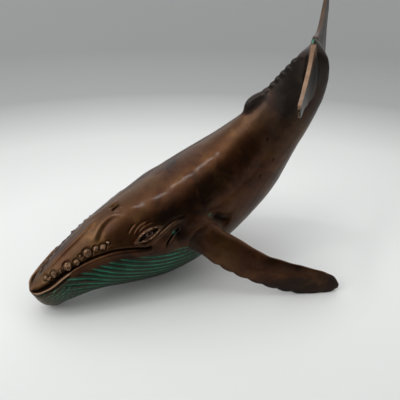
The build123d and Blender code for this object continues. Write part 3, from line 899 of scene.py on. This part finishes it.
def bead_tree():
    """Nodes that set an uneven bead on each point, turned to the skin and of the point's own size."""
    tree = bpy.data.node_groups.new("bead_rows", "GeometryNodeTree")
    face = tree.interface
    face.new_socket("Geometry", in_out="INPUT", socket_type="NodeSocketGeometry")
    for name, value in (("Radius", 0.0017), ("Flatness", 0.48), ("Unevenness", 0.002)):
        face.new_socket(name, in_out="INPUT", socket_type="NodeSocketFloat").default_value = value
    face.new_socket("Finish", in_out="INPUT", socket_type="NodeSocketMaterial")
    face.new_socket("Geometry", in_out="OUTPUT", socket_type="NodeSocketGeometry")
    given = node(tree, "NodeGroupInput").outputs
    ball = node(tree, "GeometryNodeMeshUVSphere", Segments=28, Rings=16, Radius=1.0)
    facing = node(tree, "GeometryNodeInputNamedAttribute", data_type="FLOAT_VECTOR", Name="facing")
    size = node(tree, "GeometryNodeInputNamedAttribute", data_type="FLOAT", Name="size")
    turn = node(tree, "FunctionNodeAlignRotationToVector", axis="Z", Vector=facing.outputs["Attribute"])
    radius = calculate(tree, "MULTIPLY", size.outputs["Attribute"], given["Radius"])
    tall = calculate(tree, "MULTIPLY", radius, given["Flatness"])
    scale = node(tree, "ShaderNodeCombineXYZ", radius, radius, tall)
    beads = node(
        tree, "GeometryNodeInstanceOnPoints", Points=given["Geometry"], Instance=ball.outputs["Mesh"],
        Rotation=turn.outputs[0], Scale=scale.outputs[0],
    )
    real = node(tree, "GeometryNodeRealizeInstances", beads.outputs[0])
    lumps = node(tree, "ShaderNodeTexNoise", Scale=520.0).outputs["Color"]
    level = vector(tree, "SUBTRACT", lumps, (0.5, 0.5, 0.5))
    push = vector(tree, "SCALE", level, Scale=given["Unevenness"])
    uneven = node(tree, "GeometryNodeSetPosition", real.outputs[0], Offset=push)
    smooth = node(tree, "GeometryNodeSetShadeSmooth", uneven.outputs[0])
    paint = node(tree, "GeometryNodeSetMaterial", smooth.outputs[0], Material=given["Finish"])
    node(tree, "NodeGroupOutput", paint.outputs[0])
    lay_out(tree)
    return tree


# Finishes


def new_material(name):
    """A material with its node tree and its shader."""
    material = bpy.data.materials.new(name)
    material.use_nodes = True
    return material, material.node_tree, material.node_tree.nodes["Principled BSDF"]


def brown_bronze():
    """Waxed brown bronze, with painted shade and some grime in its hollows, green in them too, and bare
    where it is rubbed, made once.
    """
    made = bpy.data.materials.get("brown_bronze")
    if made:
        return made
    colours = bpy.context.scene.whale_patina
    material, tree, shader = new_material("brown_bronze")
    clouds = noise(tree, Scale=26.0, Detail=5.0, Roughness=0.6, Distortion=0.8)
    patches = noise(tree, Scale=75.0, Detail=6.0, Roughness=0.62, Distortion=0.4)
    grain = noise(tree, Scale=420.0, Detail=5.0, Roughness=0.7)
    speck = noise(tree, Scale=1500.0, Detail=3.0, Roughness=0.6)
    ragged = calculate(tree, "MULTIPLY_ADD", patches, 1.7, -0.05, clamp=True)

    # The mark of the hollows is painted shade with some grime, laid on in a near black colour
    slate, shade_and_dirt = mark(tree, "grey"), mark(tree, "crevice")
    throat, rubbed, green = (
        calculate(tree, "MULTIPLY", mark(tree, title), ragged, clamp=True)
        for title in ("throat", "worn", "verdigris")
    )

    cloudy = ramp(
        tree, calculate(tree, "ADD", clouds, mark(tree, "tone")),
        (0.30, colours.dark), (0.46, colours.chocolate), (0.58, colours.red_brown), (0.74, colours.olive),
    )
    fine = ramp(tree, patches, (0.32, colours.dark), (0.52, colours.chocolate), (0.70, colours.olive))
    colour = mix(tree, FINE_SHARE, cloudy, fine)
    for amount, paint in (
        (slate, colours.slate), (throat, colours.throat), (shade_and_dirt, colours.shade_and_dirt), (rubbed, colours.copper),
        (green, ramp(tree, grain, (0.36, colours.teal), (0.62, colours.verdigris))),
    ):
        colour = mix(tree, amount, colour, paint)

    metallic = calculate(tree, "MULTIPLY_ADD", rubbed, RUBBED_METALLIC, METALLIC)
    # Painted shade is made fully metallic, so that its near black colour reflects almost nothing
    metallic = calculate(tree, "ADD", metallic, shade_and_dirt, clamp=True)
    metallic = calculate(tree, "SUBTRACT", metallic, green, clamp=True)
    dull = calculate(tree, "MAXIMUM", green, shade_and_dirt)
    matt = calculate(tree, "MULTIPLY", dull, DIRT_ROUGH)
    rough = calculate(tree, "MULTIPLY_ADD", grain, ROUGH_BY, ROUGH_FROM)
    rough = calculate(tree, "MAXIMUM", rough, matt)
    waxed = calculate(tree, "MULTIPLY_ADD", dull, -WAX_LOST, WAX, clamp=True)
    fleck = calculate(tree, "MULTIPLY", speck, SPECK_DEPTH)
    height = calculate(tree, "MULTIPLY_ADD", grain, GRAIN_DEPTH, fleck)
    bump = node(tree, "ShaderNodeBump", Strength=0.3, Distance=0.0003, Height=height)
    for title, value in (
        ("Base Color", colour), ("Metallic", metallic), ("Roughness", rough), ("IOR", 1.5),
        ("Specular Tint", (0.85, 0.82, 0.80)), ("Coat Weight", waxed), ("Coat Roughness", 0.16),
        ("Normal", bump.outputs[0]),
    ):
        feed(shader.inputs[title], value)
    lay_out(tree)
    return material


def polished_eye_bronze():
    """Dark polished bronze of the eyeballs."""
    colours = bpy.context.scene.whale_patina
    material, tree, shader = new_material("polished_eye_bronze")
    spots = noise(tree, Scale=900.0, Detail=3.0)
    for title, value in (
        ("Base Color", ramp(tree, spots, (0.35, colours.dark), (0.7, colours.red_brown))),
        ("Metallic", 0.9), ("Roughness", calculate(tree, "MULTIPLY", spots, 0.4)),
        ("Coat Weight", 0.5), ("Coat Roughness", 0.1),
    ):
        feed(shader.inputs[title], value)
    lay_out(tree)
    return material


def pale_sheet(stage):
    """The floor's pale finish, with painted shade that darkens it far from the whale, in ovals across the
    camera's view.
    """
    material, tree, shader = new_material("pale_sheet")
    shaded = [channel * FLOOR_MOTTLE for channel in stage.floor]
    pale = ramp(tree, noise(tree, Scale=5.0, Detail=4.0), (0.3, shaded), (0.7, stage.floor))
    where = node(tree, "ShaderNodeTexCoord").outputs["Object"]
    turned = node(tree, "ShaderNodeMapping", Vector=where, Rotation=(0, 0, -stage.azimuth))
    oval = vector(tree, "MULTIPLY", turned.outputs[0], FLOOR_OVAL)
    far = vector(tree, "LENGTH", oval, result="Value")
    # Painted shade: the floor grows darker with distance from the whale
    painted_falloff = ramp(tree, calculate(tree, "MULTIPLY_ADD", far, FLOOR_SCALE, FLOOR_SHIFT), *FLOOR_SHADE_RAMP)
    feed(shader.inputs["Base Color"], mix(tree, 1.0, pale, painted_falloff, "MULTIPLY"))
    feed(shader.inputs["Roughness"], 0.6)
    lay_out(tree)
    return material


# Settings


def millimetres(name, description, default, **limits):
    """A length in millimetres."""
    return FloatProperty(name=name, description=description, default=default, **limits)


def metres(name, description, default):
    """A length in the scene's own unit."""
    return FloatProperty(name=name, description=description, default=default, unit="LENGTH")


def factor(name, description, default):
    """A share, or a place along the spine."""
    return FloatProperty(
        name=name, description=description, default=default, min=0, max=1, subtype="FACTOR",
    )


def degrees(name, description, default):
    """An angle, given in degrees and kept in radians."""
    return FloatProperty(
        name=name, description=description, default=radians(default), subtype="ANGLE",
    )


def tint(name, description, default):
    """A colour."""
    return FloatVectorProperty(
        name=name, description=description, default=default, size=3, min=0, max=1, subtype="COLOR",
    )


class WhaleSizes(bpy.types.PropertyGroup):
    """Sizes of the whale, in millimetres."""

    spine_length: millimetres("Spine length", "Along the spine from snout to notch", 240.0, min=1)
    half_width: millimetres("Half width", "Greatest half width of the body", 29.5, min=1)
    back_height: millimetres("Back height", "Greatest height of the back above the spine", 27.5, min=1)
    belly_depth: millimetres("Belly depth", "Greatest depth of the belly below the spine", 36.5, min=1)
    snout_height: millimetres("Snout height", "Height of the snout above the ground", 16.0, min=0)
    snout_left: millimetres("Snout left", "How far the snout points off to the left", 8.0)
    middle_x: millimetres("Middle", "Distance from the snout's datum to the middle of the box", 91.67)
    tail_joint: factor("Tail joint", "Place of the tail joint along the spine", 0.802)
    flipper_root_x: millimetres("Flipper root", "Place of the flipper root behind the snout", 88.0)
    flipper_root_side: millimetres("Flipper root side", "Place of the root beside the middle", 22.0)
    flipper_root_height: millimetres("Flipper root height", "Height of the flipper root", 44.5)
    flipper_reach: millimetres("Flipper reach", "How far the flipper runs backwards", 76.5)
    flipper_spread: millimetres("Flipper spread", "How far the flipper runs sideways", 47.5)
    flipper_drop: millimetres("Flipper drop", "How far the flipper falls to its tip", 41.5)
    flipper_chord: millimetres("Flipper chord", "Width of the flipper at its root", 25.0, min=1)
    flipper_thickness: millimetres("Flipper thickness", "Thickness at the flipper's root", 10.0, min=1)
    knob_count: IntProperty(
        name="Knobs", description="Knobs along the leading edge of a flipper", default=9, min=0,
    )
    knob_size: factor("Knob size", "Share of the chord that a knob adds", 0.045)
    fluke_half_span: millimetres("Fluke half span", "From the tail's middle to a fluke's tip", 51.5, min=1)
    fluke_chord: millimetres("Fluke chord", "Length of a fluke front to back at its root", 36.0, min=1)
    fluke_thickness: millimetres("Fluke thickness", "Thickness of a fluke at its root", 7.0, min=0.5)
    fluke_edge: millimetres("Fluke edge", "Thickness of the ground trailing edge", 2.0, min=0.2)
    fluke_curl: degrees("Fluke curl", "Droop of the right fluke's leading edge", 8.0)
    fin_height: millimetres("Fin height", "Height of the dorsal fin", 4.3, min=0)
    fin_width: millimetres("Fin half width", "Half width of the dorsal fin at its foot", 3.0, min=0.5)
    pleat_pitch: millimetres("Pleat pitch", "From one throat pleat to the next", 3.7, min=0.5)
    pleat_depth: millimetres("Pleat depth", "Depth of the throat pleats", 0.85, min=0)
    pleat_closing: millimetres("Pleat closing", "How fast the pleats run towards the belly line", 36.0)
    pleat_end: factor("Pleat end", "Place along the spine where the pleats end", 0.395)
    bead_radius: millimetres("Bead radius", "Radius of a common tubercle", 1.7, min=0.1)
    bead_height: factor("Bead height", "Height of a tubercle as a share of its radius", 0.48)
    knuckle_height: millimetres("Knuckle height", "Height of the knuckles of the tail", 1.0, min=0)
    knuckle_reach: millimetres("Knuckle reach", "Reach of a knuckle from its middle", 2.1, min=0.1)


class WhalePatina(bpy.types.PropertyGroup):
    """Colours of the patina."""

    dark: tint("Dark", "Darkest brown of the patina", (0.0035, 0.0018, 0.0014))
    chocolate: tint("Chocolate", "Common brown of the patina", (0.0200, 0.0074, 0.0026))
    red_brown: tint("Red brown", "Warm patches", (0.066, 0.0215, 0.0060))
    olive: tint("Olive", "Olive bronze patches", (0.105, 0.050, 0.0160))
    slate: tint("Slate", "Grey brown of the tail", (0.018, 0.0155, 0.0135))
    throat: tint("Throat", "Dark green brown between the pleats", (0.013, 0.028, 0.018))
    # Near black painted shade, with some grime, for the hollows and creases
    shade_and_dirt: tint("Dirt", "What gathers in the hollows", (0.0022, 0.0018, 0.0015))
    copper: tint("Copper", "Rubbed metal", (0.30, 0.185, 0.115))
    verdigris: tint("Verdigris", "Green in the pleats", (0.050, 0.330, 0.185))
    teal: tint("Teal", "Bluer green in the pleats", (0.028, 0.200, 0.135))


class WhaleStage(bpy.types.PropertyGroup):
    """Camera and floor."""

    floor_size: metres("Floor size", "Side of the floor", 60.0)
    azimuth: degrees("Azimuth", "Camera's direction round the whale", -25)
    elevation: degrees("Elevation", "Camera's angle above the horizon", 36)
    distance: metres("Distance", "From the camera to what it looks at", 0.345)
    field_of_view: degrees("Field of view", "Angle seen by the camera", 40)
    target: FloatVectorProperty(
        name="Target", description="Point the camera looks at",
        default=(0.012115, 0.0, 0.040821), size=3, unit="LENGTH",
    )
    floor: tint("Floor", "Colour of the floor", (0.745, 0.755, 0.735))


# Operators


class WHALE_OT_body(bpy.types.Operator):
    """Model the head and body, with mouth, throat pleats, eye sockets and dorsal fin"""

    bl_idname = "whale.body"
    bl_label = "Body"
    bl_options = {"REGISTER", "UNDO"}

    def execute(self, context):
        sizes = context.scene.whale_sizes
        last = (BODY_ROWS[-1][1], sizes.tail_joint, LAST_ROWS)
        nose = NOSE_END * np.linspace(0, 1, NOSE_ROWS)[:-1] ** NOSE_CROWDING
        even = [np.linspace(*stretch)[:-1] for stretch in (*BODY_ROWS, last)]
        rows = np.concatenate([nose, *even, [sizes.tail_joint]])
        grid = SkinGrid(Whale(sizes), rows)
        carve_throat(grid)
        carve_head(grid)
        seat_beads(grid)
        weather(grid)
        seat_flippers(grid)
        girth = np.sqrt(1 - (1 - np.clip(rows / NOSE_ROUND, 0, 1)) ** 2)
        points = grid.drawn_in(grid.vertices(), np.maximum(girth, NOSE_TIP_SHARE)[:, None])
        shells = Shells()
        shells.add_grid(on_ground(points), grid.marks)
        piece = shells.make("body_skin", brown_bronze())
        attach(piece, "root")
        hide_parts("body_casting", "core_pin_plugs")
        return {"FINISHED"}


class WHALE_OT_tail(bpy.types.Operator):
    """Model the end of the tail and both flukes"""

    bl_idname = "whale.tail"
    bl_label = "Tail and flukes"
    bl_options = {"REGISTER", "UNDO"}

    def execute(self, context):
        sizes = context.scene.whale_sizes
        whale = Whale(sizes)
        grid = SkinGrid(whale, np.linspace(sizes.tail_joint, 1.0, TAIL_ROWS))
        weather(grid)
        flukes = [fluke_points(whale, side, *FLUKE_GRID) for side, _, _ in FLUKES]
        near = np.minimum(*[distance_to(grid.point, tree_of(fluke[0]), reach=8.0) for fluke in flukes])
        grid.lift += 0.9 * bell(near, 2.6) * step(0.88, 0.93, grid.place)
        # Painted shade, with some grime, where the flukes meet the tail
        grid.mark("crevice", 0.5 * bell(near, 0.8))
        notch = np.linalg.norm(grid.point - whale.middle(0.995), axis=-1)
        grid.mark("verdigris", 0.6 * bell(notch, 2.2))
        shells = Shells()
        shells.add_grid(tail_points(grid), grid.marks)
        stock = tree_of(grid.point)
        for fluke, (_, rubbed, flare) in zip(flukes, FLUKES):
            shells.add_grid(*finished_fluke(fluke, stock, rubbed, flare))
        piece = shells.make("tail_skin", brown_bronze())
        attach(piece, "root")
        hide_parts("tail_flukes", "tail_braze")
        return {"FINISHED"}


class WHALE_OT_flippers(bpy.types.Operator):
    """Model both flippers, with their knobbed leading edges"""

    bl_idname = "whale.flippers"
    bl_label = "Flippers"
    bl_options = {"REGISTER", "UNDO"}

    def execute(self, context):
        points, marks = finished_flipper(Whale(context.scene.whale_sizes))
        for side, name in ((1, "left_flipper"), (-1, "right_flipper")):
            shells = Shells()
            shells.add_grid(on_ground(points * (1, side, 1)), marks)
            piece = shells.make(name + "_skin", brown_bronze())
            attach(piece, "root")
            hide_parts(name, name + "_braze")
        return {"FINISHED"}


class WHALE_OT_beads(bpy.types.Operator):
    """Set the tubercles of the head"""

    bl_idname = "whale.beads"
    bl_label = "Tubercles"
    bl_options = {"REGISTER", "UNDO"}

    def execute(self, context):
        sizes = context.scene.whale_sizes
        whale = Whale(sizes)
        tree = bead_tree()
        on_left, on_right = BEAD_RUBBED
        beads = [(place, angle, size, on_left) for place, angle, size in LIP_BEADS]
        beads += [
            (place, -angle - RIGHT_BEAD_DROP, size * RIGHT_BEAD_SHARE, on_right)
            for place, angle, size in LIP_BEADS
        ]
        place, angle, size, rubbed = np.array(beads, float).T
        mesh = bpy.data.meshes.new("tubercle_points")
        mesh.from_pydata((whale.skin(place, angle) * MM).tolist(), [], [])
        add_attribute(mesh, "facing", whale.normal(place, angle))
        add_attribute(mesh, "size", size)
        add_attribute(mesh, "worn", rubbed)
        seat = add_object("tubercle_points", mesh)
        nodes = seat.modifiers.new("beads", "NODES")
        nodes.node_group = tree
        wanted = {
            "Radius": sizes.bead_radius * MM, "Flatness": sizes.bead_height, "Finish": brown_bronze(),
        }
        for item in tree.interface.items_tree:
            if item.in_out == "INPUT" and item.name in wanted:
                nodes[item.identifier] = wanted[item.name]
        context.view_layer.update()
        made = bpy.data.meshes.new_from_object(seat.evaluated_get(context.evaluated_depsgraph_get()))
        bpy.data.objects.remove(seat)
        made.name = "tubercles"
        for title in MARKS:
            if title not in made.attributes:
                amount = 0.8 if title == "tone" else 0.0
                add_attribute(made, title, np.full(len(made.vertices), amount))
        piece = add_object("tubercles", made)
        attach(piece, "root")
        return {"FINISHED"}


class WHALE_OT_eyes(bpy.types.Operator):
    """Set both eyeballs in their sockets"""

    bl_idname = "whale.eyes"
    bl_label = "Eyes"
    bl_options = {"REGISTER", "UNDO"}

    def execute(self, context):
        whale = Whale(context.scene.whale_sizes)
        shells = Shells()
        bow = np.linspace(0, pi, 26)[:, None, None]
        turn = np.linspace(0, 2 * pi, 40, endpoint=False)[:, None]
        for side in (1, -1):
            centre, back, front = (
                whale.skin(place, angle * side) for place, angle in (EYEBALL, EYE_BACK, EYE_FRONT)
            )
            out = whale.normal(EYEBALL[0], EYEBALL[1] * side)
            along = unit(back - front)
            across = unit(np.cross(out, along))
            ring = along * np.cos(turn) * EYE_HALF_LENGTH + across * np.sin(turn) * EYE_HALF_HEIGHT
            seat = centre - out * EYE_DEPTH
            shells.add_grid(seat + np.sin(bow) * ring + np.cos(bow) * out * EYE_BULGE)
        piece = shells.make("eyes", polished_eye_bronze())
        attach(piece, "root")
        return {"FINISHED"}


class WHALE_OT_stage(bpy.types.Operator):
    """Lay the pale floor, light the room, hang the lamps and place the camera"""

    bl_idname = "whale.stage"
    bl_label = "Stage"
    bl_options = {"REGISTER", "UNDO"}

    def execute(self, context):
        scene, stage = context.scene, context.scene.whale_stage
        scene.view_settings.view_transform = "Standard"
        self.floor(stage)
        self.surround(scene)
        self.lamps()
        self.camera(scene, stage)
        return {"FINISHED"}

    def floor(self, stage):
        """A wide pale sheet."""
        half = stage.floor_size / 2
        mesh = bpy.data.meshes.new("floor")
        corners = [(-half, -half, 0), (half, -half, 0), (half, half, 0), (-half, half, 0)]
        mesh.from_pydata(corners, [], [(0, 1, 2, 3)])
        mesh.materials.append(pale_sheet(stage))
        sheet = add_object("floor", mesh)

    def surround(self, scene):
        """A pale room, a little lighter behind the whale and dark towards the onlooker."""
        scene.world = scene.world or bpy.data.worlds.new("surround")
        scene.world.use_nodes = True
        tree = scene.world.node_tree
        toward = node(tree, "ShaderNodeTexCoord").outputs["Generated"]
        light, dark = (
            ramp(tree, vector(tree, "DOT_PRODUCT", toward, way, result="Value"), *stops)
            for way, stops in ((LIGHT_SIDE, LIGHT_RAMP), (ONLOOKER, ONLOOKER_RAMP))
        )
        background = tree.nodes["Background"].inputs
        feed(background["Color"], mix(tree, 1.0, light, dark, "MULTIPLY"))
        feed(background["Strength"], SURROUND_STRENGTH)
        lay_out(tree)

    def lamps(self):
        """A large soft lamp above and before the head, and a small one for the streak on the back."""
        for name, place, size, power in LAMPS:
            lamp = bpy.data.lights.new(name, "AREA")
            lamp.size, lamp.energy = size, power
            hung = add_object(name, lamp)
            hung.location = place
            aim(hung, LAMP_TARGET - Vector(place))

    def camera(self, scene, stage):
        """The photograph's viewpoint."""
        lens = bpy.data.cameras.new("camera")
        lens.sensor_width = SENSOR_WIDTH
        lens.lens = SENSOR_WIDTH / 2 / tan(stage.field_of_view / 2)
        lens.clip_start, lens.clip_end = 0.01, 50
        a, e = stage.azimuth, stage.elevation
        back = Vector((sin(a) * cos(e), -cos(a) * cos(e), sin(e)))
        camera = add_object("camera", lens)
        camera.location = Vector(stage.target) + back * stage.distance
        aim(camera, -back)
        scene.camera = camera


class WHALE_PT_panel(bpy.types.Panel):
    """Buttons for the whale's pieces"""

    bl_idname = "WHALE_PT_panel"
    bl_label = "Whale"
    bl_space_type = "VIEW_3D"
    bl_region_type = "UI"
    bl_category = "Whale"

    def draw(self, context):
        for name in STAGES:
            self.layout.operator("whale." + name)
        for group in (context.scene.whale_sizes, context.scene.whale_patina, context.scene.whale_stage):
            box = self.layout.box()
            for title in group.__annotations__:
                box.prop(group, title)


CLASSES = (
    WhaleSizes, WhalePatina, WhaleStage, WHALE_OT_body, WHALE_OT_tail, WHALE_OT_flippers,
    WHALE_OT_beads, WHALE_OT_eyes, WHALE_OT_stage, WHALE_PT_panel,
)


def register():
    for item in CLASSES:
        bpy.utils.register_class(item)
    bpy.types.Scene.whale_sizes = PointerProperty(type=WhaleSizes)
    bpy.types.Scene.whale_patina = PointerProperty(type=WhalePatina)
    bpy.types.Scene.whale_stage = PointerProperty(type=WhaleStage)


def unregister():
    del bpy.types.Scene.whale_stage
    del bpy.types.Scene.whale_patina
    del bpy.types.Scene.whale_sizes
    for item in reversed(CLASSES):
        bpy.utils.unregister_class(item)


def main():
    register()
    for name in STAGES:
        getattr(bpy.ops.whale, name)()


if __name__ == "__main__":
    main()
